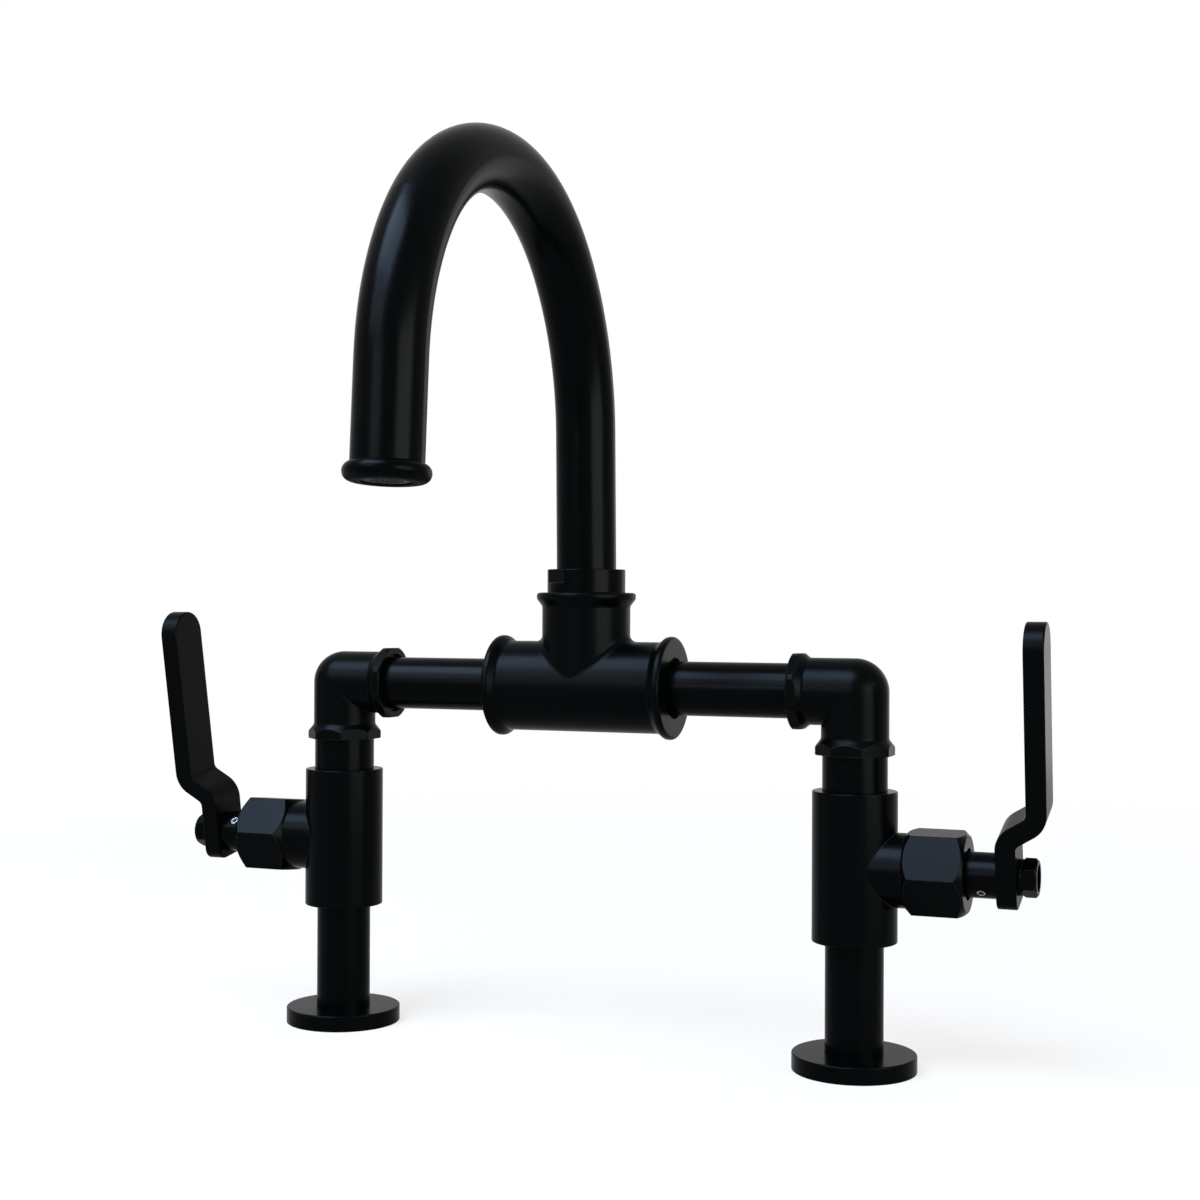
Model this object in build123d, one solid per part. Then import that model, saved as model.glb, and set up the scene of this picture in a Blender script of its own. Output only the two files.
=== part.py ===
from build123d import *
import os

# A bridge faucet in millimetres. X runs along the bridge, the spout points to -Y and Z is up.
# The origin lies on the deck, midway between the two feet. Pieces of the right side are
# modelled at +X and mirrored for the left side.

# Layout
feet_spacing = 203.2
valve_height = 71.0
valve_lift = {"left": 0.35, "right": -0.35}
bridge_height = 132.2

# Clearances, each on the radius or between two faces
slip_fit = 0.05
running_fit = 0.06
hidden_gap = 0.4
groove_side_play = 0.15

# Feet
flange_radius = 21.9
flange_thickness = 6.0
flange_edge = 0.5
flange_lower_edge = 0.25
flange_rim = 2.4
flange_hub_wall = 1.8
gasket_thickness = 1.2
foot_seal_section = 0.9
foot_seal_depth = 2.9

# Risers
riser_radius = 10.25
riser_bore = 7.0
riser_socket_depth = 10.0
inlet_thread_radius = 7.5
inlet_thread_length = 14.0

# Valve bodies
sleeve_radius = 14.95
sleeve_below = 25.7
sleeve_above = 27.05
sleeve_edge = 0.4
stub_radius = 13.0
stub_thread_radius = 11.8
waterway_radius = 7.5
waterway_floor = 1.8
passage_radius = 4.5
passage_offset = 8.0
seat_offset = 3.0

# Bonnet nuts
nut_offset = 18.7
nut_across_flats = 27.6
nut_length = 21.0
nut_chamfer_radius = 13.2
nut_corner_round = 0.5
nut_lip = 4.9
nut_mouth_radius = 9.0
nut_turn = {"left": -5.8, "right": 3.5}
bonnet_extra = {"left": 1.6, "right": 0.0}

# Cartridges
cartridge_radius = 10.1
cartridge_wall = 1.95
cartridge_flange = 2.0
cartridge_neck_radius = 7.2
cartridge_neck = 1.6
seat_seal_thickness = 1.4
disc_thickness = 3.0
port_radius = 2.0
port_offset = 4.2
drive_pin_radius = 1.2
drive_pin_offset = 5.4
drive_pin_depth = 1.6
window_width = 7.0

# Spindles
spindle_radius = 4.0
spindle_foot = 2.2
spindle_square = 5.5
stud_radius = 2.5
spindle_ring_section = 0.55
spindle_ring_places = (13.0, 18.0)

# Stem hubs
hub_radius = 7.85
hub_edge = 0.3
lever_seat = 50.1
set_screw_radius = 1.5
set_screw_sunk = 0.3
set_screw_offset = 5.3
set_screw_socket = 1.8
set_screw_socket_depth = 1.5
set_screw_turn = {"left": -41.0, "right": 46.5}

# Levers
lever_width = 18.0
lever_thickness = 6.9
lever_top = 89.0
lever_top_flat = 0.1
lever_bottom = 9.8
lever_bottom_round = 4.5
lever_edge = 0.6
lever_bend_start = 15.4
lever_bend_rise = 6.6
lever_offset = 10.6
lever_bend_radius = 6.0
lever_splay = 0.7
lever_lean = {"left": 9.7, "right": 13.6}

# End nuts
lever_washer_radius = 6.3
lever_washer_thickness = 1.2
end_nut_across_flats = 11.8
end_nut_length = 5.1
end_nut_chamfer_radius = 5.9
end_nut_turn = 30.0
end_nut_corner_round = 0.25
end_nut_recess_radius = 4.7
end_nut_recess = 1.6

# Nipples above the valves
nipple_radius = 11.43
nipple_bore = 8.5
nipple_lower_socket = 10.0
nipple_upper_socket = 8.0

# Elbows
elbow_radius = 11.9
elbow_bore = 8.5
collar_across_flats = {"down": 26.2, "level": 26.7}
collar_radius = 14.1
collar_end = 22.0
collar_edge = {"down": 0.4, "level": 1.0}
collar_band = 2.8
collar_neck = 2.8
collar_round = 0.8
collar_neck_round = 2.0
pipe_elbow_socket = 8.0

# Bridge pipes
pipe_radius = 9.85
pipe_bore = 8.2
pipe_tee_socket = 18.0
pipe_ring_section = 1.1
pipe_ring_offset = 8.5
pipe_mouth_gap = 1.35
pipe_mouth_depth = 1.6

# Tee
barrel_radius = 16.75
barrel_half_length = 34.8
branch_radius = 16.35
branch_height = 34.8
bead_rise = 2.05
bead_length = 5.0
bead_crest = 2.3
bead_round = 1.6
bead_end_round = 1.1
bead_neck_round = 2.0
branch_fillet = 3.5

# Spout nut
spout_nut_radius = 14.46
spout_nut_height = 8.6
spout_nut_edge = 0.3
spout_nut_skirt_wall = 1.9
spout_nut_skirt = 6.9
spout_nut_across_flats = 27.2
spout_nut_flat_height = 5.0
spout_nut_turn = -33.0

# Spout shank
shank_flange = 2.6
shank_flange_wall = 1.5
shank_radius = 10.5
shank_length = 11.0
shank_bore = 8.0
shank_spigot = 12.0
shank_ring_section = 0.9
shank_ring_places = (3.0, 7.0)
thrust_washer_thickness = 0.8

# Spout tube
spout_radius = 11.03
spout_wall = 1.2
spout_rise = 44.75
spout_lean = 1.6
spout_lean_radius = 200.0
spout_reach = 156.87
shoulder_turn = 42.3
crown_turn = 97.8
outlet_tilt = 4.0
outlet_leg = 33.75

# Outlet
outlet_bead = 2.9
outlet_bead_centre = 10.3
outlet_shoulder = 1.5
aerator_radius = 7.9
aerator_sunk = 0.5
aerator_length = 8.2
aerator_wall = 1.6
aerator_edge = 0.6
aerator_lip = 1.2
aerator_mouth_radius = 4.9
key_notch_width = 2.0
key_notch_depth = 1.3
key_notches = 4
key_notch_turn = 45.0
mesh_thickness = 0.8
mesh_hole = 0.95
mesh_pitch = 1.2
mesh_boss_radius = 4.3
mesh_recess = 0.1
insert_height = 4.6
insert_slots = 8
insert_slot_width = 1.0
insert_core_radius = 2.0
aerator_gasket_thickness = 1.4
aerator_gasket_wall = 1.9

# The spout's three arcs keep their proportions to its reach
shoulder_radius = spout_reach * 0.5712
crown_radius = spout_reach * 0.4673
drop_radius = spout_reach * 0.5348

# Places worked out from the sizes above
riser_x = feet_spacing / 2
gasket_inner = riser_radius + slip_fit + flange_hub_wall
gasket_outer = flange_radius - flange_rim
foot_seal_radius = riser_radius + slip_fit
foot_seal_place = flange_thickness - foot_seal_depth
cartridge_bore = cartridge_radius + slip_fit
cavity_radius = cartridge_radius - cartridge_wall
disc_radius = cavity_radius - running_fit
nut_end = nut_offset + nut_length
flange_outer_face = nut_end - nut_lip
stub_end = flange_outer_face - cartridge_flange
seal_outer_face = seat_seal_thickness - seat_offset
fixed_disc_face = seal_outer_face + disc_thickness
moving_disc_face = fixed_disc_face + disc_thickness
cavity_end = moving_disc_face + spindle_foot + hidden_gap
neck_end = flange_outer_face + cartridge_neck
hub_start = neck_end + hidden_gap
spindle_groove_radius = spindle_radius + running_fit / 2 - 2 * spindle_ring_section
lever_outer_face = lever_seat + lever_thickness
end_nut_seat = lever_outer_face + lever_washer_thickness
stud_end = end_nut_seat + end_nut_length - end_nut_recess
nipple_top = bridge_height - collar_end + nipple_upper_socket
pipe_outer_end = riser_x - collar_end + pipe_elbow_socket
pipe_inner_end = barrel_half_length - pipe_tee_socket
pipe_ring_place = barrel_half_length - pipe_ring_offset
branch_top = bridge_height + branch_height
spout_nut_top = branch_top + spout_nut_height
spout_bottom = branch_top - spout_nut_skirt - running_fit
skirt_radius = spout_radius + running_fit + spout_nut_skirt_wall
washer_top = spout_bottom - shank_flange
washer_bottom = washer_top - thrust_washer_thickness
shank_bottom = washer_top - shank_length
shank_groove_radius = shank_radius + running_fit / 2 - 2 * shank_ring_section
shank_seat_radius = shank_radius + running_fit
spout_inner_radius = spout_radius - spout_wall
outlet_bore = aerator_radius + slip_fit
aerator_top = aerator_sunk + aerator_length
aerator_seat = aerator_top + aerator_gasket_thickness
aerator_gasket_inner = outlet_bore - aerator_gasket_wall
mesh_row_pitch = mesh_pitch * 0.75 ** 0.5


def turned(*corners):
    """A solid turned about Z from half of its section: (radius, height) or (radius, height, rounding)."""
    places = [corner[:2] for corner in corners]
    roundings = [corner[2] if len(corner) == 3 else 0 for corner in corners]
    section = make_face(FilletPolyline(*places, radius=roundings, close=True))
    return revolve(Plane.XZ * section, Axis.Z)


def rod(radius, bottom, top):
    """A round bar on Z."""
    return Pos(0, 0, bottom) * Cylinder(radius, top - bottom, align=(Align.CENTER, Align.CENTER, Align.MIN))


def pipe(outer_radius, inner_radius, bottom, top):
    """A round tube on Z."""
    return turned((inner_radius, bottom), (outer_radius, bottom), (outer_radius, top), (inner_radius, top))


def prism(sides, across_flats, bottom, top, turn=0.0, corner_round=0.0):
    """A regular bar on Z; with no turn one of its flats faces X."""
    outline = RegularPolygon(across_flats / 2, sides, major_radius=False, rotation=180 / sides)
    if corner_round:
        outline = fillet(outline.vertices(), corner_round)
    return Pos(0, 0, bottom) * Rot(0, 0, turn) * extrude(outline, top - bottom)


def o_ring(inner_radius, section_radius, height):
    """A rubber ring round Z."""
    return Pos(0, 0, height) * Torus(inner_radius + section_radius, section_radius)


def ring_groove(inner_radius, outer_radius, section_radius, height):
    """The space cut for an O-ring: a little wider than the ring along Z."""
    half_width = section_radius + groove_side_play
    return pipe(outer_radius, inner_radius, height - half_width, height + half_width)


def along_x(piece):
    """Lays a piece that was made along Z out along +X."""
    return Rot(0, 90, 0) * piece


def foot_flange():
    """The round plate of a foot, recessed below for its gasket and grooved inside for its seal."""
    bore = riser_radius + slip_fit
    plate = turned(
        (bore, 0),
        (gasket_inner, 0),
        (gasket_inner, gasket_thickness),
        (gasket_outer, gasket_thickness),
        (gasket_outer, 0),
        (flange_radius, 0, flange_lower_edge),
        (flange_radius, flange_thickness, flange_edge),
        (bore, flange_thickness),
    )
    groove_outer = foot_seal_radius + 2 * foot_seal_section + slip_fit
    return plate - ring_groove(riser_radius, groove_outer, foot_seal_section, foot_seal_place)


def foot_gasket():
    """The rubber washer between a foot and the deck, flush with the foot."""
    return pipe(gasket_outer - slip_fit, gasket_inner + slip_fit, 0, gasket_thickness)


def foot_seal():
    """The rubber ring in the foot's groove, which closes the gap round the riser."""
    return o_ring(foot_seal_radius, foot_seal_section, foot_seal_place)


def riser_tube(valve_place):
    """The tube from the deck up into the valve, with the inlet thread in its lower end."""
    top = valve_place - sleeve_below + riser_socket_depth
    outer = rod(riser_radius, 0, top)
    return outer - rod(inlet_thread_radius, 0, inlet_thread_length) - rod(riser_bore, 0, top)


def valve_body(extra):
    """The upright sleeve with the side stub that holds the cartridge; Z = 0 on the valve axis."""
    sleeve = turned(
        (0, -sleeve_below),
        (sleeve_radius, -sleeve_below, sleeve_edge),
        (sleeve_radius, sleeve_above, sleeve_edge),
        (0, sleeve_above),
    )
    stub = rod(stub_radius, 0, nut_offset + extra) + rod(stub_thread_radius, 0, stub_end + extra)
    body = sleeve + along_x(stub)
    lower_socket_top = riser_socket_depth - sleeve_below
    upper_socket_bottom = sleeve_above - nipple_lower_socket
    lower_way_top = -cartridge_bore - waterway_floor
    body -= rod(riser_radius + slip_fit, -sleeve_below, lower_socket_top)
    body -= rod(waterway_radius, -sleeve_below, lower_way_top)
    body -= rod(nipple_radius + slip_fit, upper_socket_bottom, sleeve_above)
    body -= rod(waterway_radius, 0, sleeve_above)
    body -= Pos(-passage_offset, 0, 0) * rod(passage_radius, lower_socket_top + hidden_gap, 0)
    body -= along_x(rod(passage_radius, -passage_offset, 0))
    return body - along_x(rod(cartridge_bore, extra - seat_offset, stub_end + extra))


def seat_seal():
    """The rubber washer between the valve body and the fixed disc."""
    return pipe(cartridge_radius, passage_radius, -seat_offset, seal_outer_face)


def ported_disc(radius, bottom, top, turn):
    """A ceramic disc with two ports across its middle."""
    disc = rod(radius, bottom, top)
    for side in (-1, 1):
        disc -= Rot(0, 0, turn) * Pos(side * port_offset, 0, 0) * rod(port_radius, bottom, top)
    return disc


def fixed_disc():
    """The ceramic disc that stays with the valve body."""
    return ported_disc(cavity_radius - slip_fit, seal_outer_face, fixed_disc_face, 0)


def drive_pins(radius):
    """The two pins that carry the spindle's turn to its disc."""
    start = moving_disc_face - drive_pin_depth
    pins = Part()
    for side in (-1, 1):
        pins += Pos(side * drive_pin_offset, 0, 0) * rod(radius, start, moving_disc_face)
    return pins


def moving_disc():
    """The ceramic disc that turns with the spindle, drawn with the valve closed."""
    disc = ported_disc(disc_radius, fixed_disc_face, moving_disc_face, 90)
    return disc - drive_pins(drive_pin_radius + slip_fit)


def cartridge_body():
    """The brass shell round the discs, clamped by its flange under the bonnet nut."""
    bore = spindle_radius + running_fit
    shell = turned(
        (cavity_radius, seal_outer_face),
        (cartridge_radius, seal_outer_face),
        (cartridge_radius, stub_end),
        (stub_thread_radius, stub_end),
        (stub_thread_radius, flange_outer_face),
        (cartridge_neck_radius, flange_outer_face),
        (cartridge_neck_radius, neck_end),
        (bore, neck_end),
        (bore, cavity_end),
        (cavity_radius, cavity_end),
    )
    window = Box(
        2 * cartridge_bore,
        window_width,
        cavity_end - fixed_disc_face,
        align=(Align.CENTER, Align.CENTER, Align.MIN),
    )
    return shell - Pos(0, 0, fixed_disc_face) * window


def drive_square(clearance, bottom, top, turn):
    """The square of a spindle, or the hole for it when a clearance is given."""
    return prism(4, spindle_square + 2 * clearance, bottom, top, turn)


def spindle(turn):
    """The turning stem: foot and drive pins inside, square and threaded stud outside."""
    foot_top = moving_disc_face + spindle_foot
    stem = rod(disc_radius, moving_disc_face, foot_top) + rod(spindle_radius, moving_disc_face, neck_end)
    stem += drive_pins(drive_pin_radius)
    stem += drive_square(0, neck_end, lever_outer_face, turn)
    stem += rod(stud_radius, lever_outer_face, stud_end)
    for place in spindle_ring_places:
        stem -= ring_groove(spindle_groove_radius, disc_radius, spindle_ring_section, place)
    return stem


def spindle_o_rings():
    """The rubber rings that seal the spindle in its cartridge."""
    rings = Part()
    for place in spindle_ring_places:
        rings += o_ring(spindle_groove_radius, spindle_ring_section, place)
    return rings


def chamfered_nut(across_flats, chamfer_radius, bottom, top, turn, corner_round):
    """A hexagon bar on Z with its corners taken off at 45 degrees at both ends."""
    half = (top - bottom) / 2
    cones = turned(
        (0, bottom),
        (chamfer_radius, bottom),
        (chamfer_radius + half, bottom + half),
        (chamfer_radius, top),
        (0, top),
    )
    return prism(6, across_flats, bottom, top, turn, corner_round) & cones


def bonnet_nut(turn):
    """The hexagon nut that clamps the cartridge into the valve body."""
    nut = chamfered_nut(
        nut_across_flats,
        nut_chamfer_radius,
        nut_offset,
        nut_end,
        turn,
        nut_corner_round,
    )
    nut -= rod(stub_thread_radius + slip_fit, nut_offset, flange_outer_face)
    return nut - rod(nut_mouth_radius, nut_offset, nut_end)


def set_screw_axis(turn):
    """Puts a piece made along Z on the set screw's axis, pointing out of the hub."""
    return Rot(0, 0, turn) * Pos(0, 0, lever_seat - set_screw_offset) * Rot(90, 0, 0)


def stem_hub(screw_turn):
    """The round hub on the spindle's square, which carries the lever."""
    hub = turned(
        (0, hub_start),
        (hub_radius, hub_start, hub_edge),
        (hub_radius, lever_seat),
        (0, lever_seat),
    )
    hub -= drive_square(slip_fit, hub_start, lever_seat, screw_turn)
    return hub - set_screw_axis(screw_turn) * rod(set_screw_radius + slip_fit, 0, 2 * hub_radius)


def set_screw(turn):
    """The headless screw that holds the hub on the spindle."""
    inner = spindle_square / 2 + slip_fit
    outer = hub_radius - set_screw_sunk
    screw = rod(set_screw_radius, inner, outer)
    screw -= prism(6, set_screw_socket, outer - set_screw_socket_depth, outer)
    return set_screw_axis(turn) * screw


def lever(square_turn):
    """The bent flat handle, upright, with X = 0 on its inner face and Z = 0 on the valve axis."""
    middle = lever_thickness / 2
    bend_end = lever_bend_start + lever_bend_rise
    reach = lever_top + lever_thickness
    splay = Vector(0, 1).rotate(Axis.Z, -lever_splay) * (reach - bend_end)
    corner = Vector(middle + lever_offset, bend_end)
    centre_line = FilletPolyline(
        (middle, -lever_bottom),
        (middle, lever_bend_start),
        corner,
        corner + splay,
        radius=lever_bend_radius,
    )
    bar = extrude(Plane.XZ * trace(centre_line, lever_thickness), lever_width / 2, both=True)
    height = lever_top + lever_bottom
    outline = Pos(0, (lever_top - lever_bottom) / 2) * Rectangle(lever_width, height)
    top_corners = outline.vertices().group_by(Axis.Y)[-1]
    outline = fillet(top_corners, (lever_width - lever_top_flat) / 2)
    outline = fillet(outline.vertices().group_by(Axis.Y)[0], lever_bottom_round)
    bar &= extrude(Plane.YZ * outline, height)
    bar = fillet(bar.edges(), lever_edge)
    return bar - along_x(drive_square(slip_fit, 0, lever_thickness, square_turn))


def lever_washer():
    """The thin washer between the lever and its end nut."""
    return pipe(lever_washer_radius, stud_radius + slip_fit, lever_outer_face, end_nut_seat)


def end_nut():
    """The small hexagon nut on the stud, recessed outside."""
    end = end_nut_seat + end_nut_length
    nut = chamfered_nut(
        end_nut_across_flats,
        end_nut_chamfer_radius,
        end_nut_seat,
        end,
        end_nut_turn,
        end_nut_corner_round,
    )
    nut -= rod(stud_radius + slip_fit, end_nut_seat, end)
    return nut - rod(end_nut_recess_radius, end - end_nut_recess, end)


def nipple(valve_place):
    """The short tube between a valve and its elbow."""
    bottom = valve_place + sleeve_above - nipple_lower_socket
    return pipe(nipple_radius, nipple_bore, bottom, nipple_top)


def elbow_leg(arm):
    """One arm of an elbow along Z, down or level, with its eight-sided collar."""
    band_start = collar_end - collar_band
    leg = turned(
        (0, 0),
        (elbow_radius, 0),
        (elbow_radius, band_start - collar_neck, collar_neck_round),
        (collar_radius, band_start, collar_round),
        (collar_radius, collar_end, collar_edge[arm]),
        (0, collar_end),
    )
    return leg & prism(8, collar_across_flats[arm], 0, collar_end)


def elbow():
    """The elbow between nipple and bridge pipe; its arms point down and towards the tee."""
    down = Rot(180, 0, 0)
    inwards = Rot(0, -90, 0)
    body = down * elbow_leg("down") + inwards * elbow_leg("level") + Sphere(elbow_radius)
    body -= down * rod(elbow_bore, 0, collar_end)
    body -= down * rod(nipple_radius + slip_fit, collar_end - nipple_upper_socket, collar_end)
    body -= inwards * rod(pipe_bore, 0, collar_end)
    body -= inwards * rod(pipe_radius + slip_fit, collar_end - pipe_elbow_socket, collar_end)
    body -= inwards * pipe_mouth(collar_end)
    return Pos(0, 0, bridge_height) * body


def pipe_mouth(end):
    """The wider mouth of a socket that takes a bridge pipe."""
    return rod(pipe_radius + pipe_mouth_gap, end - pipe_mouth_depth, end)


def bridge_pipe():
    """The level tube from the elbow into the tee."""
    return Pos(0, 0, bridge_height) * along_x(pipe(pipe_radius, pipe_bore, pipe_inner_end, pipe_outer_end))


def bridge_o_ring():
    """The rubber ring that seals a bridge pipe in the tee."""
    ring = o_ring(pipe_radius + slip_fit, pipe_ring_section, pipe_ring_place)
    return Pos(0, 0, bridge_height) * along_x(ring)


def beaded_end(radius, end):
    """A solid bar on Z whose far end swells into a rounded bead."""
    crest = radius + bead_rise
    return turned(
        (0, 0),
        (radius, 0),
        (radius, end - bead_length, bead_neck_round),
        (crest, end - bead_crest, bead_round),
        (crest, end, bead_end_round),
        (0, end),
    )


def bridge_tee():
    """The tee that gathers both bridge pipes and carries the spout."""
    barrel = rod(barrel_radius, -bead_length, bead_length)
    for turn in (0, 180):
        barrel += Rot(turn, 0, 0) * beaded_end(barrel_radius, barrel_half_length)
    barrel = along_x(barrel)
    branch = beaded_end(branch_radius, branch_height)
    tee = barrel + branch
    tee = fillet(new_edges(barrel, branch, combined=tee), branch_fillet)
    bore = pipe_radius + slip_fit
    hollow = rod(bore, -barrel_half_length, barrel_half_length)
    for turn in (0, 180):
        groove_outer = bore + 2 * pipe_ring_section + slip_fit
        groove = ring_groove(pipe_bore, groove_outer, pipe_ring_section, pipe_ring_place)
        hollow += Rot(turn, 0, 0) * (pipe_mouth(barrel_half_length) + groove)
    tee = Pos(0, 0, bridge_height) * (tee - along_x(hollow))
    tee -= rod(shank_seat_radius, bridge_height, branch_top)
    return tee - rod(skirt_radius + slip_fit, washer_bottom, branch_top)


def spout_nut():
    """The round nut that keeps the spout in the tee; two flats take a wrench."""
    bore = spout_radius + running_fit
    nut = turned(
        (bore, branch_top - spout_nut_skirt),
        (skirt_radius, branch_top - spout_nut_skirt),
        (skirt_radius, branch_top),
        (spout_nut_radius, branch_top),
        (spout_nut_radius, spout_nut_top, spout_nut_edge),
        (bore, spout_nut_top),
    )
    outside = Box(4 * spout_nut_radius, 4 * spout_nut_radius, spout_nut_flat_height)
    inside = Box(4 * spout_nut_radius, spout_nut_across_flats, spout_nut_flat_height)
    flats = Rot(0, 0, spout_nut_turn) * (outside - inside)
    return nut - Pos(0, 0, spout_nut_top - spout_nut_flat_height / 2) * flats


def thrust_washer():
    """The low-friction washer below the spout's flange."""
    return pipe(skirt_radius, shank_seat_radius, washer_bottom, washer_top)


def spout_shank():
    """The turning foot of the spout: a flange under the spout nut and a sealed shank in the tee."""
    shank = turned(
        (shank_bore, shank_bottom),
        (shank_radius, shank_bottom),
        (shank_radius, washer_top),
        (spout_radius + shank_flange_wall, washer_top),
        (spout_radius + shank_flange_wall, spout_bottom),
        (spout_inner_radius - slip_fit, spout_bottom),
        (spout_inner_radius - slip_fit, spout_bottom + shank_spigot),
        (shank_bore, spout_bottom + shank_spigot),
    )
    for place in shank_ring_places:
        height = shank_bottom + place
        shank -= ring_groove(shank_groove_radius, spout_radius, shank_ring_section, height)
    return shank


def spout_o_rings():
    """The rubber rings that seal the spout's shank in the tee."""
    rings = Part()
    for place in shank_ring_places:
        rings += o_ring(shank_groove_radius, shank_ring_section, shank_bottom + place)
    return rings


def spout_path():
    """The spout's centre line, from its shank over the top and down to the outlet."""
    drop_turn = 180 - spout_lean - shoulder_turn - crown_turn - outlet_tilt
    stem = Line((0, spout_bottom), (0, spout_nut_top))
    lean = JernArc(stem @ 1, stem % 1, spout_lean_radius, -spout_lean)
    rise = Line(lean @ 1, lean @ 1 + (lean % 1) * spout_rise)
    shoulder = JernArc(rise @ 1, rise % 1, shoulder_radius, -shoulder_turn)
    crown = JernArc(shoulder @ 1, shoulder % 1, crown_radius, -crown_turn)
    drop = JernArc(crown @ 1, crown % 1, drop_radius, -drop_turn)
    leg = Line(drop @ 1, drop @ 1 + (drop % 1) * outlet_leg)
    flat_path = Curve() + [stem, lean, rise, shoulder, crown, drop, leg]
    upright = Plane((0, 0, 0), x_dir=(0, -1, 0), z_dir=(-1, 0, 0))
    return (upright.location * flat_path).wires()[0]


def spout_tube(path):
    """The gooseneck tube."""
    start = Plane(path @ 0, z_dir=path % 0)
    solid = sweep(start * Circle(spout_radius), path)
    return solid - sweep(start * Circle(spout_inner_radius), path)


def outlet_place(path):
    """The frame of the outlet: its Z points up the tube from the outlet's lower face."""
    up = -(path % 1)
    return Plane(path @ 1 - up * outlet_bead, x_dir=(1, 0, 0), z_dir=up)


def outlet_ring():
    """The beaded ring on the spout's end, with the sleeve that fits inside the tube."""
    bead = Pos(0, 0, outlet_bead) * Torus(outlet_bead_centre, outlet_bead)
    body = bead + rod(outlet_bead_centre, 0, outlet_bead)
    body -= rod(spout_radius, outlet_bead, 2 * outlet_bead)
    sleeve_top = aerator_seat + outlet_shoulder
    body += rod(spout_inner_radius - slip_fit, 0, sleeve_top)
    return body - rod(outlet_bore, 0, aerator_seat) - rod(aerator_gasket_inner, 0, sleeve_top)


def aerator_housing():
    """The threaded cup in the outlet, with notches in its lip for a key."""
    inner = aerator_radius - aerator_wall
    cup = turned(
        (aerator_mouth_radius, aerator_sunk),
        (aerator_radius, aerator_sunk, aerator_edge),
        (aerator_radius, aerator_top),
        (inner, aerator_top),
        (inner, aerator_sunk + aerator_lip),
        (aerator_mouth_radius, aerator_sunk + aerator_lip),
    )
    notch = Box(key_notch_depth * 2, key_notch_width, aerator_lip)
    for turn in range(0, 360, 360 // key_notches):
        cup -= Rot(0, 0, turn + key_notch_turn) * Pos(aerator_radius, 0, aerator_sunk) * notch
    return cup


def aerator_mesh():
    """The honeycomb screen: it rests on the lip and its boss fills the aerator's mouth."""
    bottom = aerator_sunk + mesh_recess
    ledge = aerator_sunk + aerator_lip
    top = ledge + mesh_thickness
    screen = rod(mesh_boss_radius, bottom, top) + rod(aerator_radius - aerator_wall - slip_fit, ledge, top)
    reach = mesh_boss_radius - mesh_hole / 2
    rings = int(reach / mesh_pitch)
    hole = prism(6, mesh_hole, bottom, top, turn=30)
    holes = Part()
    for row in range(-rings, rings + 1):
        for column in range(-rings, rings + 1):
            x = (column + row / 2) * mesh_pitch
            y = row * mesh_row_pitch
            if (x * x + y * y) ** 0.5 <= reach:
                holes += Pos(x, y, 0) * hole
    return screen - holes


def aerator_insert():
    """The slotted plastic core that breaks up the stream above the screen."""
    bottom = aerator_sunk + aerator_lip + mesh_thickness
    radius = aerator_radius - aerator_wall - slip_fit
    core = rod(radius, bottom, bottom + insert_height)
    length = radius - insert_core_radius
    slot = Box(length, insert_slot_width, insert_height, align=(Align.MIN, Align.CENTER, Align.MIN))
    for count in range(insert_slots):
        place = Rot(0, 0, 360 * count / insert_slots) * Pos(insert_core_radius, 0, bottom)
        core -= place * slot
    return core


def aerator_gasket():
    """The rubber washer between the aerator and the outlet's inner shoulder."""
    return pipe(aerator_radius, aerator_gasket_inner, aerator_top, aerator_seat)


def side_pieces(side):
    """All the pieces of one side, in their place on the right."""
    extra = bonnet_extra[side]
    square_turn = set_screw_turn[side]
    riser = Pos(riser_x, 0, 0)
    valve_place = valve_height + valve_lift[side]
    valve = Pos(riser_x + extra, 0, valve_place) * Rot(0, 90, 0)
    lean = lever_lean[side]
    handle = Pos(riser_x + extra + lever_seat, 0, valve_place) * Rot(lean, 0, 0)
    return {
        "foot_flange": riser * foot_flange(),
        "foot_gasket": riser * foot_gasket(),
        "foot_seal": riser * foot_seal(),
        "riser_tube": riser * riser_tube(valve_place),
        "valve_body": Pos(riser_x, 0, valve_place) * valve_body(extra),
        "seat_seal": valve * seat_seal(),
        "fixed_disc": valve * fixed_disc(),
        "moving_disc": valve * moving_disc(),
        "cartridge_body": valve * cartridge_body(),
        "spindle": valve * spindle(square_turn),
        "spindle_o_rings": valve * spindle_o_rings(),
        "bonnet_nut": valve * bonnet_nut(nut_turn[side]),
        "stem_hub": valve * stem_hub(square_turn),
        "set_screw": valve * set_screw(square_turn),
        "lever": handle * lever(square_turn - lean),
        "lever_washer": valve * lever_washer(),
        "end_nut": valve * end_nut(),
        "nipple": riser * nipple(valve_place),
        "elbow": riser * elbow(),
        "bridge_pipe": bridge_pipe(),
        "bridge_o_ring": bridge_o_ring(),
    }


def middle_pieces():
    """The tee, the spout and its outlet."""
    path = spout_path()
    outlet = outlet_place(path)
    return {
        "bridge_tee": bridge_tee(),
        "spout_nut": spout_nut(),
        "thrust_washer": thrust_washer(),
        "spout_shank": spout_shank(),
        "spout_o_rings": spout_o_rings(),
        "spout_tube": spout_tube(path),
        "outlet_ring": outlet.location * outlet_ring(),
        "aerator_housing": outlet.location * aerator_housing(),
        "aerator_mesh": outlet.location * aerator_mesh(),
        "aerator_insert": outlet.location * aerator_insert(),
        "aerator_gasket": outlet.location * aerator_gasket(),
    }


def all_pieces():
    """Every piece of the faucet under its name."""
    pieces = middle_pieces()
    for name, piece in side_pieces("right").items():
        pieces["right_" + name] = piece
    for name, piece in side_pieces("left").items():
        pieces["left_" + name] = mirror(piece, about=Plane.YZ)
    return pieces


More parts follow.
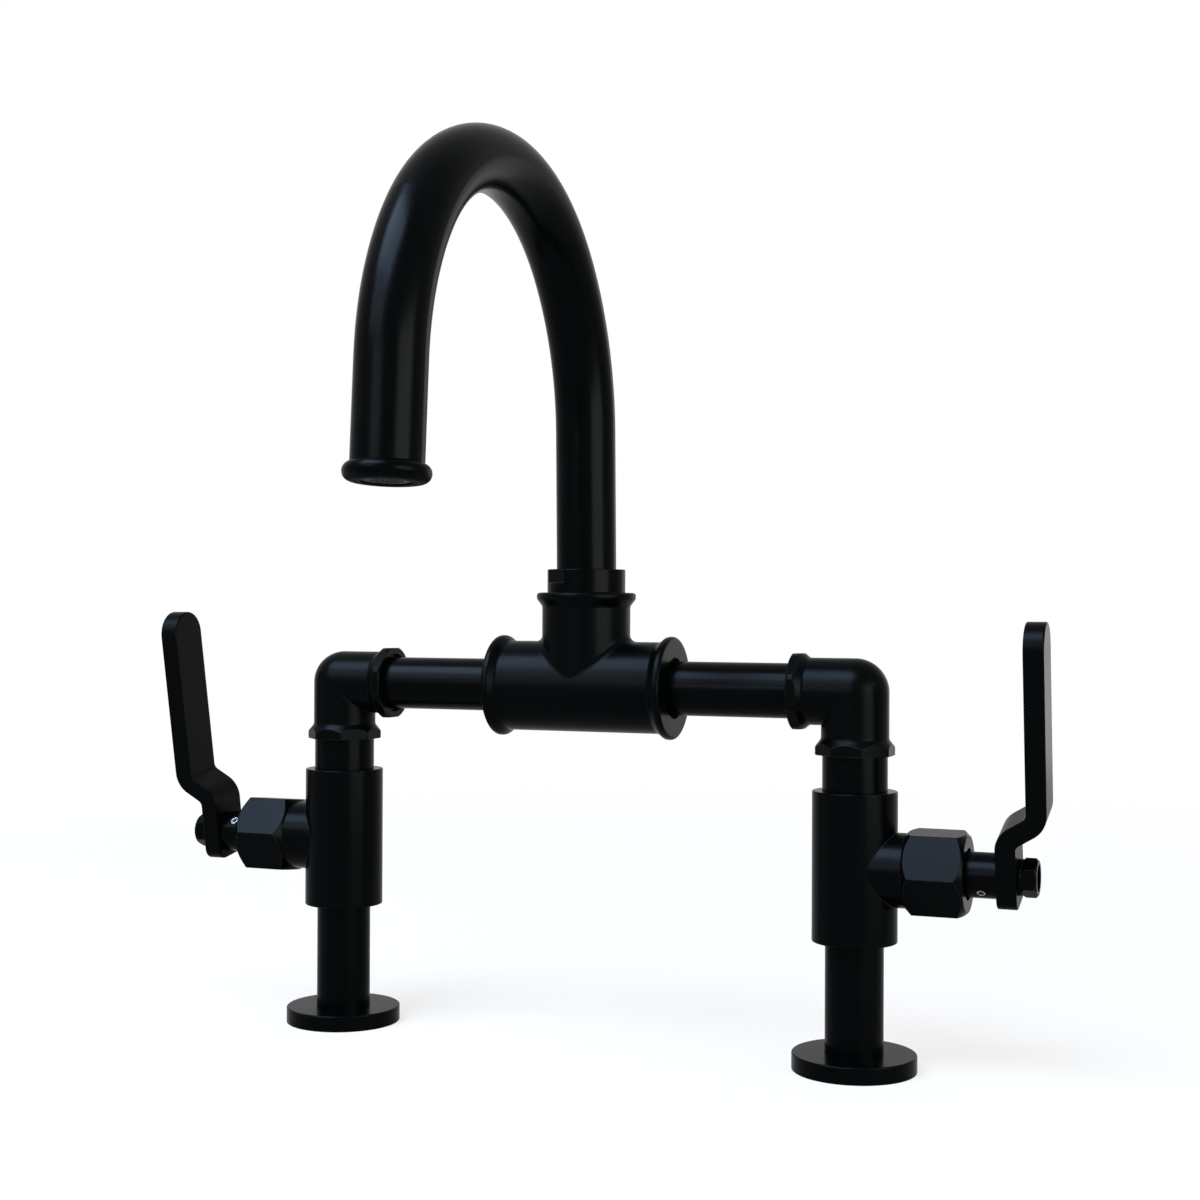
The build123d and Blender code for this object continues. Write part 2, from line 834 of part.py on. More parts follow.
os.makedirs("parts", exist_ok=True)
for name, piece in all_pieces().items():
    export_step(piece, "parts/" + name + ".step")
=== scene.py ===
import math

import bpy
from bpy.props import FloatProperty, FloatVectorProperty, IntProperty, PointerProperty
from mathutils import Matrix, Vector


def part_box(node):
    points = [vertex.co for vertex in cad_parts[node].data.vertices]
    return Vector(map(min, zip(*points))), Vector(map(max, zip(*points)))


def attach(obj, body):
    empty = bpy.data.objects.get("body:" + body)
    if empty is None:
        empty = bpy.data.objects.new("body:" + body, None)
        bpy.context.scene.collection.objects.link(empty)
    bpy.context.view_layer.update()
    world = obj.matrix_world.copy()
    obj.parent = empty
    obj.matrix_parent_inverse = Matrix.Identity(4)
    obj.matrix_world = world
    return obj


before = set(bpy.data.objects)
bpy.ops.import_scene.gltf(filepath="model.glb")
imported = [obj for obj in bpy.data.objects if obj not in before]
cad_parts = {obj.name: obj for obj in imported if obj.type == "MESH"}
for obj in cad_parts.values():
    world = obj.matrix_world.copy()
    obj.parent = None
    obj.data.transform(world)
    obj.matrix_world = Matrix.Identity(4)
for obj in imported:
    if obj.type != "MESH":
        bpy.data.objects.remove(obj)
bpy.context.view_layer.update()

bl_info = {
    "name": "Bridge faucet finishes",
    "version": (1, 0, 0),
    "blender": (4, 5, 0),
    "location": "View3D > Sidebar > Faucet",
    "description": "Finishes, inlet threads and studio for a bridge faucet",
    "category": "Object",
}

SIDES = ("left", "right")

FLOAT = "NodeSocketFloat"
VECTOR = "NodeSocketVector"
WHITE = (1.0, 1.0, 1.0, 1.0)

# Textures: the middle of Blender's noise, and how finely the Bevel nodes look round an edge
NOISE_MIDDLE = 0.5
BEVEL_SAMPLES = 6

# Rubbed edges, which are smoother and also painted lighter as a painted highlight: the cosine between a
# face's normal and the rounded one where rubbing starts and is full, the noise where its patches start and
# are full, the patches in a metre, and the share of roughness lost
RUB_START, RUB_FULL = 0.994, 0.93
RUB_NOISE_START, RUB_NOISE_FULL = 0.35, 0.7
RUB_FINENESS = 90.0
RUB_POLISH = 0.35

# Undersides: how squarely a face looks down, from 0 to 1, where its dulling starts and is full
UNDERSIDE_START, UNDERSIDE_FULL = 0.35, 0.8

# How much wider the grain of the coat is on castings, and the scratches in a metre of turned metal
CAST_GRAIN = 1.6
BRASS_MARKS = 2600.0
STEEL_MARKS = 3800.0

# The inlet threads: points in one turn, and corners of the ridge's section
THREAD_STEPS = 40
THREAD_CORNERS = 4

# The floor, in metres from the faucet: how far it reaches, and where its shade starts to fade into white
# and is gone; NEAR_GLOW is the share of white before that
FLOOR_REACH = 20.0
FADE_START, FADE_END = 0.25, 1.1
NEAR_GLOW = 0.72

# The lamps point at the target, and their glints stand this share of the way nearer to it
LAMP_TARGET = (0.0, -0.03, 0.13)
GLINT_NEARER = 0.03

# The photograph's camera: metres, radians and millimetres
CAMERA_PLACE = (0.246595, -0.620019, 0.160959)
CAMERA_YAW = 0.3709515
CAMERA_PITCH = 0.00506978
CAMERA_ROLL = 0.00407071
CAMERA_LENS = 53.92
CAMERA_SENSOR = 36.0
CAMERA_CLIP = 0.02


def colour_property(label, text, value):
    """A colour that a user can change."""
    return FloatVectorProperty(name=label, description=text, default=value, min=0, max=1, size=3,
                               subtype="COLOR")


def length_property(label, text, value):
    """A length in metres that a user can change."""
    return FloatProperty(name=label, description=text, default=value, min=0, precision=5,
                         subtype="DISTANCE", unit="LENGTH")


def share_property(label, text, value):
    """A number from 0 to 1 that a user can change."""
    return FloatProperty(name=label, description=text, default=value, min=0, max=1, subtype="FACTOR")


def power_property(label, text, value):
    """The power of a lamp in watts."""
    return FloatProperty(name=label, description=text, default=value, min=0, unit="POWER")


class FaucetFinishes(bpy.types.PropertyGroup):
    """Colours and textures of the faucet's surfaces."""

    coat: colour_property("Coat", "Matt black powder coat", (0.0005, 0.0009, 0.001))
    # Painted highlight: this lighter coat colour on the rubbed edges stands in for the light that the edges
    # catch
    coat_edge_highlight: colour_property("Coat at edges", "Coat where fingers have smoothed its edges",
                               (0.03, 0.031, 0.031))
    cast_roughness: share_property("Cast roughness", "How dull the coat is on cast and bent pieces", 0.3)
    turned_roughness: share_property("Turned roughness", "How dull the coat is on turned pieces", 0.24)
    coat_shine: share_property("Coat shine", "How strongly the coat reflects", 0.02)
    outlet_shine: share_property("Outlet shine", "How strongly the coat round the outlet reflects", 0.017)
    outlet_dulling: share_property("Outlet dulling", "How much duller the outlet is below", 0.4)
    coat_grain: length_property("Coat grain", "Width of the bumps in the powder coat", 0.00055)
    coat_depth: length_property("Coat grain depth", "Height of the bumps in the powder coat", 0.000012)
    edge_width: length_property("Edge width", "How far the rounding of an edge reaches", 0.00035)
    brass: colour_property("Brass", "Machined brass of the cartridges and the spout's foot",
                           (0.66, 0.46, 0.19))
    spindle: colour_property("Spindle", "Blackened brass of the spindles", (0.03, 0.027, 0.022))
    steel: colour_property("Steel", "Bright steel of the set screws", (0.26, 0.26, 0.25))
    ceramic: colour_property("Ceramic", "Lapped ceramic of the valve discs", (0.82, 0.8, 0.75))
    rubber: colour_property("Rubber", "Black rubber of rings and gaskets", (0.012, 0.012, 0.012))
    screen: colour_property("Screen", "Plastic of the screen in the outlet, which is paler than the coat",
                            (0.03, 0.032, 0.032))
    housing: colour_property("Aerator cup", "Black plastic of the aerator's cup", (0.012, 0.013, 0.014))


class FaucetSizes(bpy.types.PropertyGroup):
    """Sizes of the inlet threads."""

    thread_radius: length_property("Thread radius", "Radius at the root of the inlet threads", 0.0075)
    thread_pitch: length_property("Thread pitch", "Rise of the inlet threads in one turn", 0.00115)
    thread_ridge: length_property("Thread ridge", "Depth of the inlet threads", 0.0005)
    thread_turns: IntProperty(name="Thread turns", description="Turns of each inlet thread",
                              default=11, min=1)


class FaucetStudio(bpy.types.PropertyGroup):
    """Floor, backdrop and light."""

    floor: colour_property("Floor", "Pale floor", (1.0, 0.92, 0.84))
    surround: colour_property("Surround", "Light that the room sends from all sides", (0.35, 0.35, 0.35))
    key_light: power_property("Key light", "Power of the large lamp high on the left in front", 122.0)
    low_light: power_property("Low light", "Power of the lamp below the key light", 25.0)
    front_light: power_property("Front light", "Power of the low lamp in front", 9.5)
    side_light: power_property("Side light", "Power of the lamp on the right", 11.0)
    rear_light: power_property("Rear light", "Power of the lamp behind on the right", 0.3)
    glint: FloatProperty(name="Glint", description="How many times brighter the lamps look in reflections",
                         default=2.9, min=1)


GROUPS = {"finishes": FaucetFinishes, "sizes": FaucetSizes, "studio": FaucetStudio}


def settings(name):
    """One of the scene's three groups of values."""
    return getattr(bpy.context.scene, "faucet_" + name)


def add(tree, kind, inputs=(), **attributes):
    """A new node; inputs holds (socket, value or the socket that feeds it)."""
    node = tree.nodes.new(kind)
    for key, value in attributes.items():
        setattr(node, key, value)
    for socket, value in inputs:
        if isinstance(value, bpy.types.NodeSocket):
            tree.links.new(value, node.inputs[socket])
        else:
            node.inputs[socket].default_value = value
    return node


def maths(tree, operation, *values):
    """The result of a Math node on numbers or sockets."""
    return add(tree, "ShaderNodeMath", enumerate(values), operation=operation).outputs[0]


def noise(tree, place, fineness, detail, roughness=0.5):
    """Smooth noise about NOISE_MIDDLE."""
    inputs = [("Vector", place), ("Scale", fineness), ("Detail", detail), ("Roughness", roughness)]
    return add(tree, "ShaderNodeTexNoise", inputs).outputs["Fac"]


def ramp(tree, value, start, full):
    """Goes from 0 to 1 as the value goes from start to full."""
    inputs = [("Value", value), ("From Min", start), ("From Max", full)]
    return add(tree, "ShaderNodeMapRange", inputs).outputs["Result"]


def rounded_normal(tree, width):
    """The normal with edges rounded to a width."""
    return add(tree, "ShaderNodeBevel", [("Radius", width)], samples=BEVEL_SAMPLES).outputs["Normal"]


def mixed_colour(tree, share, first, second):
    """A mix of two colours, by the numbers of their sockets, because Mix has an A and a B for each type."""
    return add(tree, "ShaderNodeMix", [(0, share), (6, first), (7, second)], data_type="RGBA").outputs[2]


def new_group(name, kind, inputs, outputs):
    """An empty node group from {socket: type}: (group, sockets that it gets, sockets that it gives)."""
    group = bpy.data.node_groups.new(name, kind)
    for in_out, sockets in (("INPUT", inputs), ("OUTPUT", outputs)):
        for label, socket_type in sockets.items():
            group.interface.new_socket(label, in_out=in_out, socket_type=socket_type)
    return group, group.nodes.new("NodeGroupInput").outputs, group.nodes.new("NodeGroupOutput").inputs


def grain_group(name):
    """Fine bumps, and slow, faint patches over them, as powder coat, castings and moulded parts have."""
    group, given, result = new_group(
        name,
        "ShaderNodeTree",
        {"Vector": VECTOR, "Fineness": FLOAT, "Patch Fineness": FLOAT, "Patch Strength": FLOAT},
        {"Height": FLOAT, "Patches": FLOAT},
    )
    bumps = noise(group, given["Vector"], given["Fineness"], detail=2.5, roughness=0.55)
    cells = add(group, "ShaderNodeTexVoronoi",
                [("Vector", given["Vector"]), ("Scale", given["Fineness"]), ("Randomness", 1.0)],
                feature="SMOOTH_F1").outputs["Distance"]
    slow = noise(group, given["Vector"], given["Patch Fineness"], detail=4.0)
    centred = maths(group, "SUBTRACT", slow, NOISE_MIDDLE)
    patches = maths(group, "MULTIPLY_ADD", centred, given["Patch Strength"], 1.0)
    group.links.new(maths(group, "ADD", bumps, cells), result["Height"])
    group.links.new(patches, result["Patches"])
    return group


def edge_group(name):
    """A mask of the outer edges, where handling rubs a finish smooth and where the coat gets its painted
    highlight.
    """
    group, given, result = new_group(
        name,
        "ShaderNodeTree",
        {"Vector": VECTOR, "Width": FLOAT, "Patch Fineness": FLOAT},
        {"Mask": FLOAT},
    )
    face = add(group, "ShaderNodeNewGeometry").outputs["Normal"]
    likeness = add(group, "ShaderNodeVectorMath", [(0, rounded_normal(group, given["Width"])), (1, face)],
                   operation="DOT_PRODUCT").outputs["Value"]
    edge = ramp(group, likeness, RUB_START, RUB_FULL)
    patches = noise(group, given["Vector"], given["Patch Fineness"], detail=3.0)
    uneven = ramp(group, patches, RUB_NOISE_START, RUB_NOISE_FULL)
    group.links.new(maths(group, "MULTIPLY", edge, uneven), result["Mask"])
    return group


def marks_group(name):
    """The fine scratches of a lathe tool, slanted so that they show on pieces turned about X and about Z."""
    group, given, result = new_group(
        name,
        "ShaderNodeTree",
        {"Vector": VECTOR, "Fineness": FLOAT},
        {"Height": FLOAT},
    )
    scratches = add(group, "ShaderNodeTexWave",
                    [("Vector", given["Vector"]), ("Scale", given["Fineness"]), ("Distortion", 1.5),
                     ("Detail", 2.0)],
                    wave_type="BANDS", bands_direction="DIAGONAL")
    group.links.new(scratches.outputs["Fac"], result["Height"])
    return group


def underside_group(name):
    """A mask of the faces that look down, where less of the powder lands and the coat stays dull."""
    group, given, result = new_group(
        name,
        "ShaderNodeTree",
        {"Normal": VECTOR, "Start": FLOAT, "Full": FLOAT},
        {"Mask": FLOAT},
    )
    upward = add(group, "ShaderNodeSeparateXYZ", [(0, given["Normal"])]).outputs["Z"]
    downward = maths(group, "MULTIPLY", upward, -1.0)
    group.links.new(ramp(group, downward, given["Start"], given["Full"]), result["Mask"])
    return group


def add_group(tree, name, build, inputs):
    """Places a shader group, which is built when the first material asks for it: what it gives."""
    group = bpy.data.node_groups.get(name) or build(name)
    return add(tree, "ShaderNodeGroup", inputs, node_tree=group).outputs


def bare_tree(owner, output):
    """Empties the nodes of a material or world: (tree, the socket that its shader feeds)."""
    owner.use_nodes = True
    tree = owner.node_tree
    tree.nodes.clear()
    return tree, tree.nodes.new(output).inputs["Surface"]


def surface(name, colour, roughness, grain, depth, patch_strength=0.2, patch_fineness=45.0, shine=0.5,
            metallic=0.0, edge_highlight_colour=None, edge_width=0.0004, marks=0.0, below=0.0):
    """A finish with grain, patches, and rubbed edges that can carry a painted highlight.

    grain and depth are the width and height of the bumps, and the edge colour is the painted highlight on
    rubbed edges.
    marks is the fineness of turning marks, and below is how much duller the faces are that look down.
    """
    if name in bpy.data.materials:
        return bpy.data.materials[name]
    material = bpy.data.materials.new(name)
    tree, output = bare_tree(material, "ShaderNodeOutputMaterial")
    on_piece = add(tree, "ShaderNodeTexCoord").outputs
    place = on_piece["Object"]
    texture = add_group(tree, "Surface grain", grain_group,
                        [("Vector", place), ("Fineness", 1 / grain), ("Patch Fineness", patch_fineness),
                         ("Patch Strength", patch_strength)])
    rubbed_and_highlit = add_group(tree, "Rubbed edges with painted highlight", edge_group,
                       [("Vector", place), ("Width", edge_width), ("Patch Fineness", RUB_FINENESS)])["Mask"]
    toned = add(tree, "ShaderNodeVectorMath", [(0, colour), ("Scale", texture["Patches"])],
                operation="SCALE").outputs["Vector"]
    # Painted highlight: rubbed edges take the lighter edge colour where the real edges catch the light; the
    # same mask makes them less rough
    painted = mixed_colour(tree, rubbed_and_highlit, toned, (*(edge_highlight_colour or colour), 1.0))
    uneven = maths(tree, "MULTIPLY", texture["Patches"], roughness)
    dullness = maths(tree, "MULTIPLY_ADD", rubbed_and_highlit, -RUB_POLISH * roughness, uneven)
    if below:
        underside = add_group(tree, "Underside", underside_group,
                              [("Normal", on_piece["Normal"]), ("Start", UNDERSIDE_START),
                               ("Full", UNDERSIDE_FULL)])["Mask"]
        dullness = maths(tree, "MULTIPLY_ADD", underside, below, dullness)
    height = texture["Height"]
    if marks:
        turned = add_group(tree, "Turning marks", marks_group, [("Vector", place), ("Fineness", marks)])
        height = maths(tree, "ADD", height, turned["Height"])
    bump = add(tree, "ShaderNodeBump",
               [("Strength", 1.0), ("Distance", depth), ("Height", height),
                ("Normal", rounded_normal(tree, edge_width))])
    shader = add(tree, "ShaderNodeBsdfPrincipled",
                 [("Base Color", painted), ("Metallic", metallic), ("Roughness", dullness),
                  ("Specular IOR Level", shine), ("Normal", bump.outputs["Normal"])])
    tree.links.new(shader.outputs["BSDF"], output)
    return material


def coat(name, roughness, shine, grain=1.0, below=0.0):
    """Matt black powder coat with a painted highlight on its edges; grain is how much wider its bumps are
    than usual.
    """
    values = settings("finishes")
    return surface(name, values.coat, roughness=roughness, grain=grain * values.coat_grain,
                   depth=values.coat_depth, shine=shine, edge_highlight_colour=values.coat_edge_highlight,
                   edge_width=values.edge_width, below=below)


def cast_coat():
    """The coat on cast and bent pieces, whose surface stays a little uneven."""
    values = settings("finishes")
    return coat("Black coat on castings", values.cast_roughness, values.coat_shine, grain=CAST_GRAIN)


def turned_coat():
    """The coat on turned pieces and tubes, which is the smoothest."""
    values = settings("finishes")
    return coat("Black coat on turned pieces", values.turned_roughness, values.coat_shine)


def outlet_coat():
    """The coat on the ring round the outlet, which is dull below."""
    values = settings("finishes")
    return coat("Black coat on the outlet", values.turned_roughness, values.outlet_shine,
                below=values.outlet_dulling)


def brass():
    """Machined brass."""
    return surface("Machined brass", settings("finishes").brass, roughness=0.3, grain=0.0012,
                   depth=0.000004, metallic=1.0, edge_width=0.0002, marks=BRASS_MARKS)


def blackened_brass():
    """Brass blackened to match the coat, because a spindle's end shows in its nut."""
    return surface("Blackened brass", settings("finishes").spindle, roughness=0.36, grain=0.0008,
                   depth=0.000005, metallic=1.0, edge_width=0.0002, marks=BRASS_MARKS)


def steel():
    """Bright steel."""
    return surface("Bright steel", settings("finishes").steel, roughness=0.24, grain=0.0006,
                   depth=0.000004, metallic=1.0, edge_width=0.00015, marks=STEEL_MARKS)


def rubber():
    """Moulded black rubber."""
    return surface("Moulded rubber", settings("finishes").rubber, roughness=0.68, grain=0.0003,
                   depth=0.00001, patch_strength=0.3, shine=0.3)


def ceramic():
    """Lapped ceramic."""
    return surface("Lapped ceramic", settings("finishes").ceramic, roughness=0.2, grain=0.0008,
                   depth=0.000002, patch_strength=0.06)


def screen_plastic():
    """Moulded plastic that is paler than the coat."""
    return surface("Pale plastic", settings("finishes").screen, roughness=0.75, grain=0.0005,
                   depth=0.000005, patch_strength=0.12, shine=0.02, edge_width=0.0001)


def housing_plastic():
    """Black moulded plastic."""
    return surface("Black plastic", settings("finishes").housing, roughness=0.5, grain=0.0004,
                   depth=0.000006, shine=0.1)


def both(*names):
    """The names of the left and the right node of each kind."""
    return [f"{side}_{name}" for side in SIDES for name in names]


def dress(names, material):
    """Gives CAD nodes a material."""
    for name in names:
        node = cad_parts[name]
        for slot in node.material_slots:
            slot.material = material


def thread_tree():
    """Geometry nodes for the ridge of a screw thread, which rises along Z from 0."""
    tree, given, result = new_group(
        "Screw thread",
        "GeometryNodeTree",
        {"Radius": FLOAT, "Pitch": FLOAT, "Ridge": FLOAT, "Turns": FLOAT, "Material": "NodeSocketMaterial"},
        {"Geometry": "NodeSocketGeometry"},
    )
    path = add(tree, "GeometryNodeCurveSpiral",
               [("Resolution", THREAD_STEPS), ("Rotations", given["Turns"]),
                ("Start Radius", given["Radius"]), ("End Radius", given["Radius"]),
                ("Height", maths(tree, "MULTIPLY", given["Pitch"], given["Turns"]))])
    section = add(tree, "GeometryNodeCurvePrimitiveCircle",
                  [("Resolution", THREAD_CORNERS), ("Radius", given["Ridge"])])
    ridge = add(tree, "GeometryNodeCurveToMesh",
                [("Curve", path.outputs[0]), ("Profile Curve", section.outputs[0]), ("Fill Caps", True)])
    real = add(tree, "GeometryNodeRealizeInstances", [("Geometry", ridge.outputs[0])])
    painted = add(tree, "GeometryNodeSetMaterial",
                  [("Geometry", real.outputs[0]), ("Material", given["Material"])])
    tree.links.new(painted.outputs[0], result["Geometry"])
    return tree


def holder_with(tree, values, name):
    """An empty mesh object with a Geometry Nodes modifier; values holds {input: value}."""
    holder = bpy.data.objects.new(name + "_maker", bpy.data.meshes.new(name + "_maker"))
    bpy.context.scene.collection.objects.link(holder)
    modifier = holder.modifiers.new("Maker", "NODES")
    modifier.node_group = tree
    sockets = {item.name: item.identifier for item in tree.interface.items_tree if item.in_out == "INPUT"}
    for label, value in values.items():
        modifier[sockets[label]] = value
    return holder


def plain_mesh(holder, name, body):
    """Turns what a modifier makes into a plain mesh piece that rides on a body."""
    shown = holder.evaluated_get(bpy.context.evaluated_depsgraph_get())
    mesh = bpy.data.meshes.new_from_object(shown)
    mesh.name = name
    bpy.data.objects.remove(holder)
    if not mesh.polygons:
        raise RuntimeError(f"{name} came out empty")
    piece = bpy.data.objects.new(name, mesh)
    bpy.context.scene.collection.objects.link(piece)
    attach(piece, body)
    return piece


def seen_directly(tree):
    """1 for rays from the camera and for rays that reflect or pass through, and 0 for the rest."""
    ray = add(tree, "ShaderNodeLightPath").outputs
    shown = maths(tree, "MAXIMUM", ray["Is Camera Ray"], ray["Is Glossy Ray"])
    return maths(tree, "MAXIMUM", shown, ray["Is Transmission Ray"])


def pale_floor(colour):
    """A wide pale floor, which fades into white away from the faucet."""
    mesh = bpy.data.meshes.new("floor")
    corners = [(-FLOOR_REACH, -FLOOR_REACH, 0.0), (FLOOR_REACH, -FLOOR_REACH, 0.0),
               (FLOOR_REACH, FLOOR_REACH, 0.0), (-FLOOR_REACH, FLOOR_REACH, 0.0)]
    mesh.from_pydata(corners, [], [(0, 1, 2, 3)])
    floor = bpy.data.objects.new("floor", mesh)
    bpy.context.scene.collection.objects.link(floor)
    material = bpy.data.materials.new("Pale floor")
    mesh.materials.append(material)
    tree, output = bare_tree(material, "ShaderNodeOutputMaterial")
    place = add(tree, "ShaderNodeTexCoord").outputs["Object"]
    distance = add(tree, "ShaderNodeVectorMath", [(0, place)], operation="LENGTH").outputs["Value"]
    fade = add(tree, "ShaderNodeMapRange",
               [("Value", distance), ("From Min", FADE_START), ("From Max", FADE_END),
                ("To Min", NEAR_GLOW), ("To Max", 1.0)],
               interpolation_type="SMOOTHSTEP")
    share = maths(tree, "MULTIPLY", seen_directly(tree), fade.outputs["Result"])
    painted = add(tree, "ShaderNodeBsdfDiffuse", [("Color", (*colour, 1.0))])
    glow = add(tree, "ShaderNodeEmission", [("Color", WHITE), ("Strength", 1.0)])
    mixed = add(tree, "ShaderNodeMixShader", [(0, share), (1, painted.outputs[0]), (2, glow.outputs[0])])
    tree.links.new(mixed.outputs[0], output)


def white_backdrop(colour):
    """A surround that is seen as white and lights the faucet in its own colour."""
    world = bpy.data.worlds.new("Studio surround")
    bpy.context.scene.world = world
    tree, output = bare_tree(world, "ShaderNodeOutputWorld")
    room = add(tree, "ShaderNodeBackground", [("Color", (*colour, 1.0)), ("Strength", 1.0)])
    white = add(tree, "ShaderNodeBackground", [("Color", WHITE), ("Strength", 1.0)])
    mixed = add(tree, "ShaderNodeMixShader",
                [(0, seen_directly(tree)), (1, room.outputs[0]), (2, white.outputs[0])])
    tree.links.new(mixed.outputs[0], output)


def area_light(name, place, size, power, colour):
    """A rectangular light turned to the target."""
    data = bpy.data.lights.new(name, "AREA")
    data.shape = "RECTANGLE"
    data.size, data.size_y = size
    data.energy = power
    data.color = colour
    light = bpy.data.objects.new(name, data)
    light.location = place
    light.rotation_euler = (Vector(LAMP_TARGET) - Vector(place)).to_track_quat("-Z", "Y").to_euler()
    bpy.context.scene.collection.objects.link(light)
    return light


def lamp(name, place, size, power, colour, glint):
    """A soft rectangular lamp, and a twin that only reflections show, so that it looks brighter there."""
    area_light(name, place, size, power, colour)
    nearer = Vector(place).lerp(Vector(LAMP_TARGET), GLINT_NEARER)
    twin = area_light(name + "_glint", nearer, size, power * (glint - 1), colour)
    twin.visible_diffuse = False


def photo_camera():
    """The camera at the photograph's place, angle and lens."""
    data = bpy.data.cameras.new("photo_camera")
    data.sensor_width = CAMERA_SENSOR
    data.lens = CAMERA_LENS
    data.clip_start = CAMERA_CLIP
    camera = bpy.data.objects.new("photo_camera", data)
    upright = Matrix.Rotation(math.pi / 2 + CAMERA_PITCH, 4, "X") @ Matrix.Rotation(CAMERA_ROLL, 4, "Z")
    turned = Matrix.Rotation(CAMERA_YAW, 4, "Z") @ upright
    camera.matrix_world = Matrix.Translation(CAMERA_PLACE) @ turned
    bpy.context.scene.collection.objects.link(camera)
    bpy.context.scene.camera = camera


class FAUCET_OT_feet(bpy.types.Operator):
    """Finish the feet with their gaskets and seals, and the risers"""

    bl_idname = "faucet.feet"
    bl_label = "Feet and risers"

    def execute(self, context):
        dress(both("foot_flange", "riser_tube"), turned_coat())
        dress(both("foot_gasket", "foot_seal"), rubber())
        return {"FINISHED"}


class FAUCET_OT_valves(bpy.types.Operator):
    """Finish the valve bodies, their nuts and the cartridges inside"""

    bl_idname = "faucet.valves"
    bl_label = "Valves"

    def execute(self, context):
        dress(both("valve_body", "bonnet_nut"), turned_coat())
        dress(both("cartridge_body"), brass())
        dress(both("spindle"), blackened_brass())
        dress(both("fixed_disc", "moving_disc"), ceramic())
        dress(both("seat_seal", "spindle_o_rings"), rubber())
        return {"FINISHED"}


class FAUCET_OT_handles(bpy.types.Operator):
    """Finish the levers with their hubs, washers, nuts and set screws"""

    bl_idname = "faucet.handles"
    bl_label = "Handles"

    def execute(self, context):
        dress(both("stem_hub", "lever_washer", "end_nut"), turned_coat())
        dress(both("lever"), cast_coat())
        dress(both("set_screw"), steel())
        return {"FINISHED"}


class FAUCET_OT_bridge(bpy.types.Operator):
    """Finish the nipples, elbows, pipes and tee of the bridge, and its seals"""

    bl_idname = "faucet.bridge"
    bl_label = "Bridge"

    def execute(self, context):
        dress(both("nipple", "bridge_pipe"), turned_coat())
        dress([*both("elbow"), "bridge_tee"], cast_coat())
        dress(both("bridge_o_ring"), rubber())
        return {"FINISHED"}


class FAUCET_OT_spout(bpy.types.Operator):
    """Finish the spout, its nut, foot and seals, and the aerator"""

    bl_idname = "faucet.spout"
    bl_label = "Spout"

    def execute(self, context):
        dress(["spout_nut", "spout_tube"], turned_coat())
        dress(["outlet_ring"], outlet_coat())
        dress(["spout_shank"], brass())
        dress(["spout_o_rings", "aerator_gasket"], rubber())
        dress(["thrust_washer", "aerator_insert", "aerator_mesh"], screen_plastic())
        dress(["aerator_housing"], housing_plastic())
        return {"FINISHED"}


class FAUCET_OT_threads(bpy.types.Operator):
    """Wind the ridges of the screw threads in the two inlets"""

    bl_idname = "faucet.threads"
    bl_label = "Inlet threads"

    def execute(self, context):
        sizes = settings("sizes")
        tree = thread_tree()
        values = {
            "Radius": sizes.thread_radius,
            "Pitch": sizes.thread_pitch,
            "Ridge": sizes.thread_ridge,
            "Turns": float(sizes.thread_turns),
            "Material": turned_coat(),
        }
        for side in SIDES:
            low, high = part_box(f"{side}_riser_tube")
            name = f"{side}_inlet_thread"
            piece = plain_mesh(holder_with(tree, values, name), name, "bridge")
            start = Vector(((low.x + high.x) / 2, 0.0, low.z + sizes.thread_ridge))
            piece.data.transform(Matrix.Translation(start))
        return {"FINISHED"}


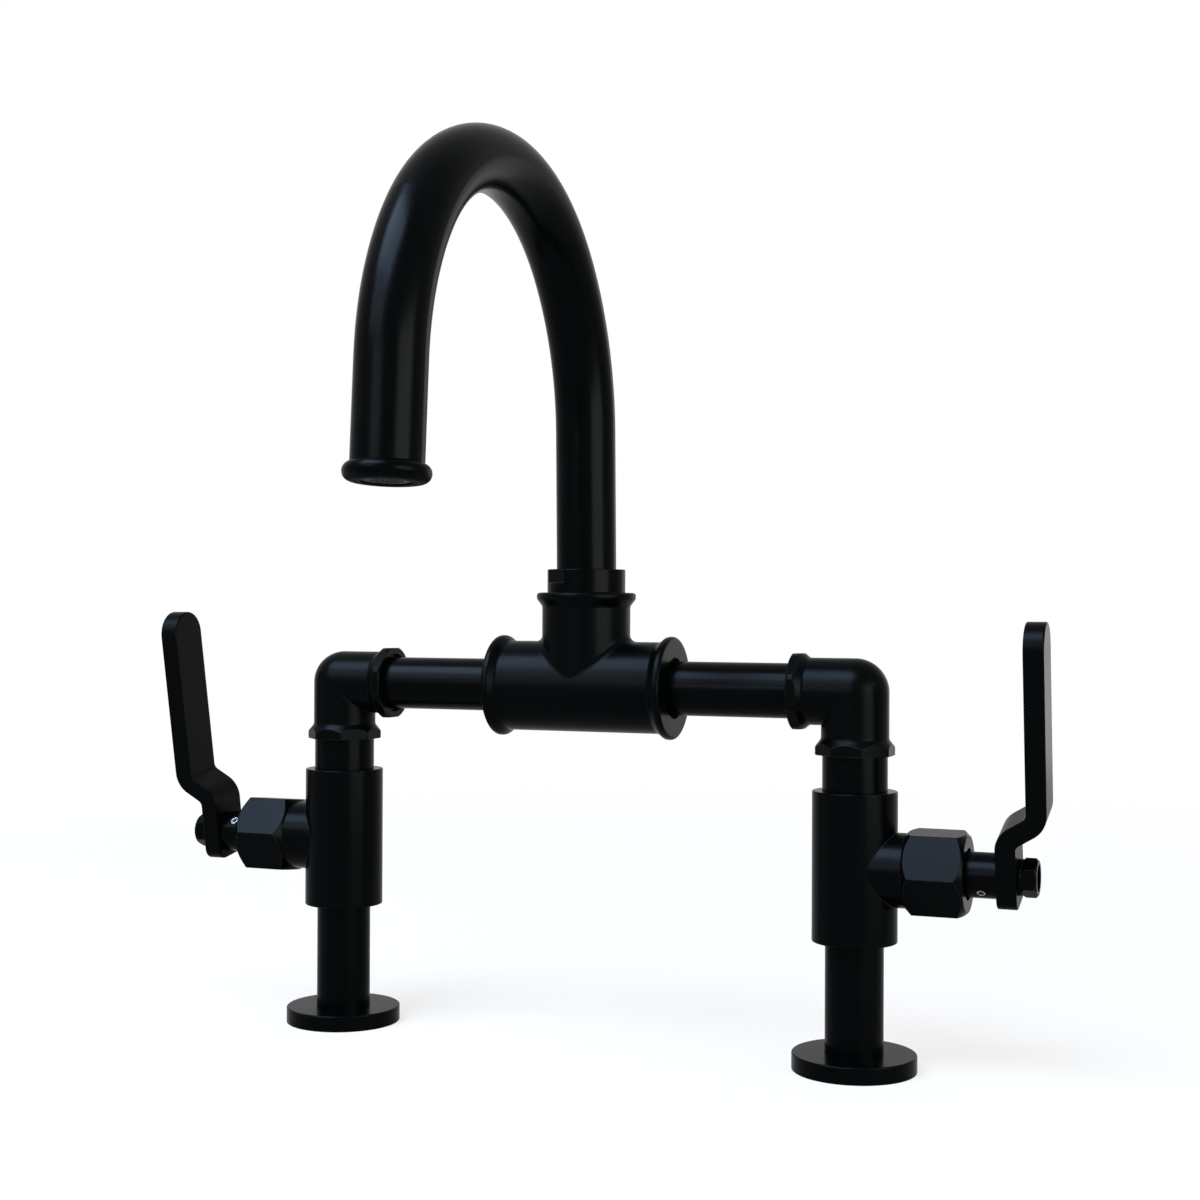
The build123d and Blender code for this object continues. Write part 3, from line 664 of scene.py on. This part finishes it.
class FAUCET_OT_stage(bpy.types.Operator):
    """Set up the floor, the light and the camera"""

    bl_idname = "faucet.stage"
    bl_label = "Studio"

    def execute(self, context):
        values = settings("studio")
        pale_floor(values.floor)
        white_backdrop(values.surround)
        for name, place, size, power, colour in (
            ("key_lamp", (-0.82, -1.45, 2.64), (2.3, 1.45), values.key_light, (0.52, 0.71, 1.0)),
            ("low_lamp", (-1.235, -2.35, 1.77), (2.0, 0.95), values.low_light, (0.68, 0.78, 1.0)),
            ("front_lamp", (-0.675, -2.953, 0.88), (1.5, 0.5), values.front_light, (0.78, 0.8, 1.0)),
            ("side_lamp", (1.2, -0.52, 0.26), (1.0, 0.9), values.side_light, (0.96, 1.0, 0.95)),
            ("rear_lamp", (0.42, 1.2, 0.25), (0.5, 0.6), values.rear_light, (1.0, 1.0, 0.94)),
        ):
            lamp(name, place, size, power, colour, values.glint)
        photo_camera()
        context.scene.view_settings.view_transform = "Standard"
        return {"FINISHED"}


OPERATORS = (
    FAUCET_OT_feet, FAUCET_OT_valves, FAUCET_OT_handles, FAUCET_OT_bridge, FAUCET_OT_spout,
    FAUCET_OT_threads, FAUCET_OT_stage,
)


class FAUCET_PT_panel(bpy.types.Panel):
    """Lists the steps that dress the faucet, and its values"""

    bl_idname = "FAUCET_PT_panel"
    bl_label = "Bridge faucet"
    bl_space_type = "VIEW_3D"
    bl_region_type = "UI"
    bl_category = "Faucet"

    def draw(self, context):
        for operator in OPERATORS:
            self.layout.operator(operator.bl_idname)
        for name, group in GROUPS.items():
            for key in group.__annotations__:
                self.layout.prop(settings(name), key)


def register():
    """Makes the classes and their values known."""
    for name, group in GROUPS.items():
        bpy.utils.register_class(group)
        setattr(bpy.types.Scene, "faucet_" + name, PointerProperty(type=group))
    for operator in OPERATORS:
        bpy.utils.register_class(operator)
    bpy.utils.register_class(FAUCET_PT_panel)


def unregister():
    """Takes the classes and their values away."""
    bpy.utils.unregister_class(FAUCET_PT_panel)
    for operator in reversed(OPERATORS):
        bpy.utils.unregister_class(operator)
    for name, group in GROUPS.items():
        delattr(bpy.types.Scene, "faucet_" + name)
        bpy.utils.unregister_class(group)


def main():
    """Dresses the faucet step by step."""
    register()
    bpy.ops.faucet.feet()
    bpy.ops.faucet.valves()
    bpy.ops.faucet.handles()
    bpy.ops.faucet.bridge()
    bpy.ops.faucet.spout()
    bpy.ops.faucet.threads()
    bpy.ops.faucet.stage()


if __name__ == "__main__":
    main()
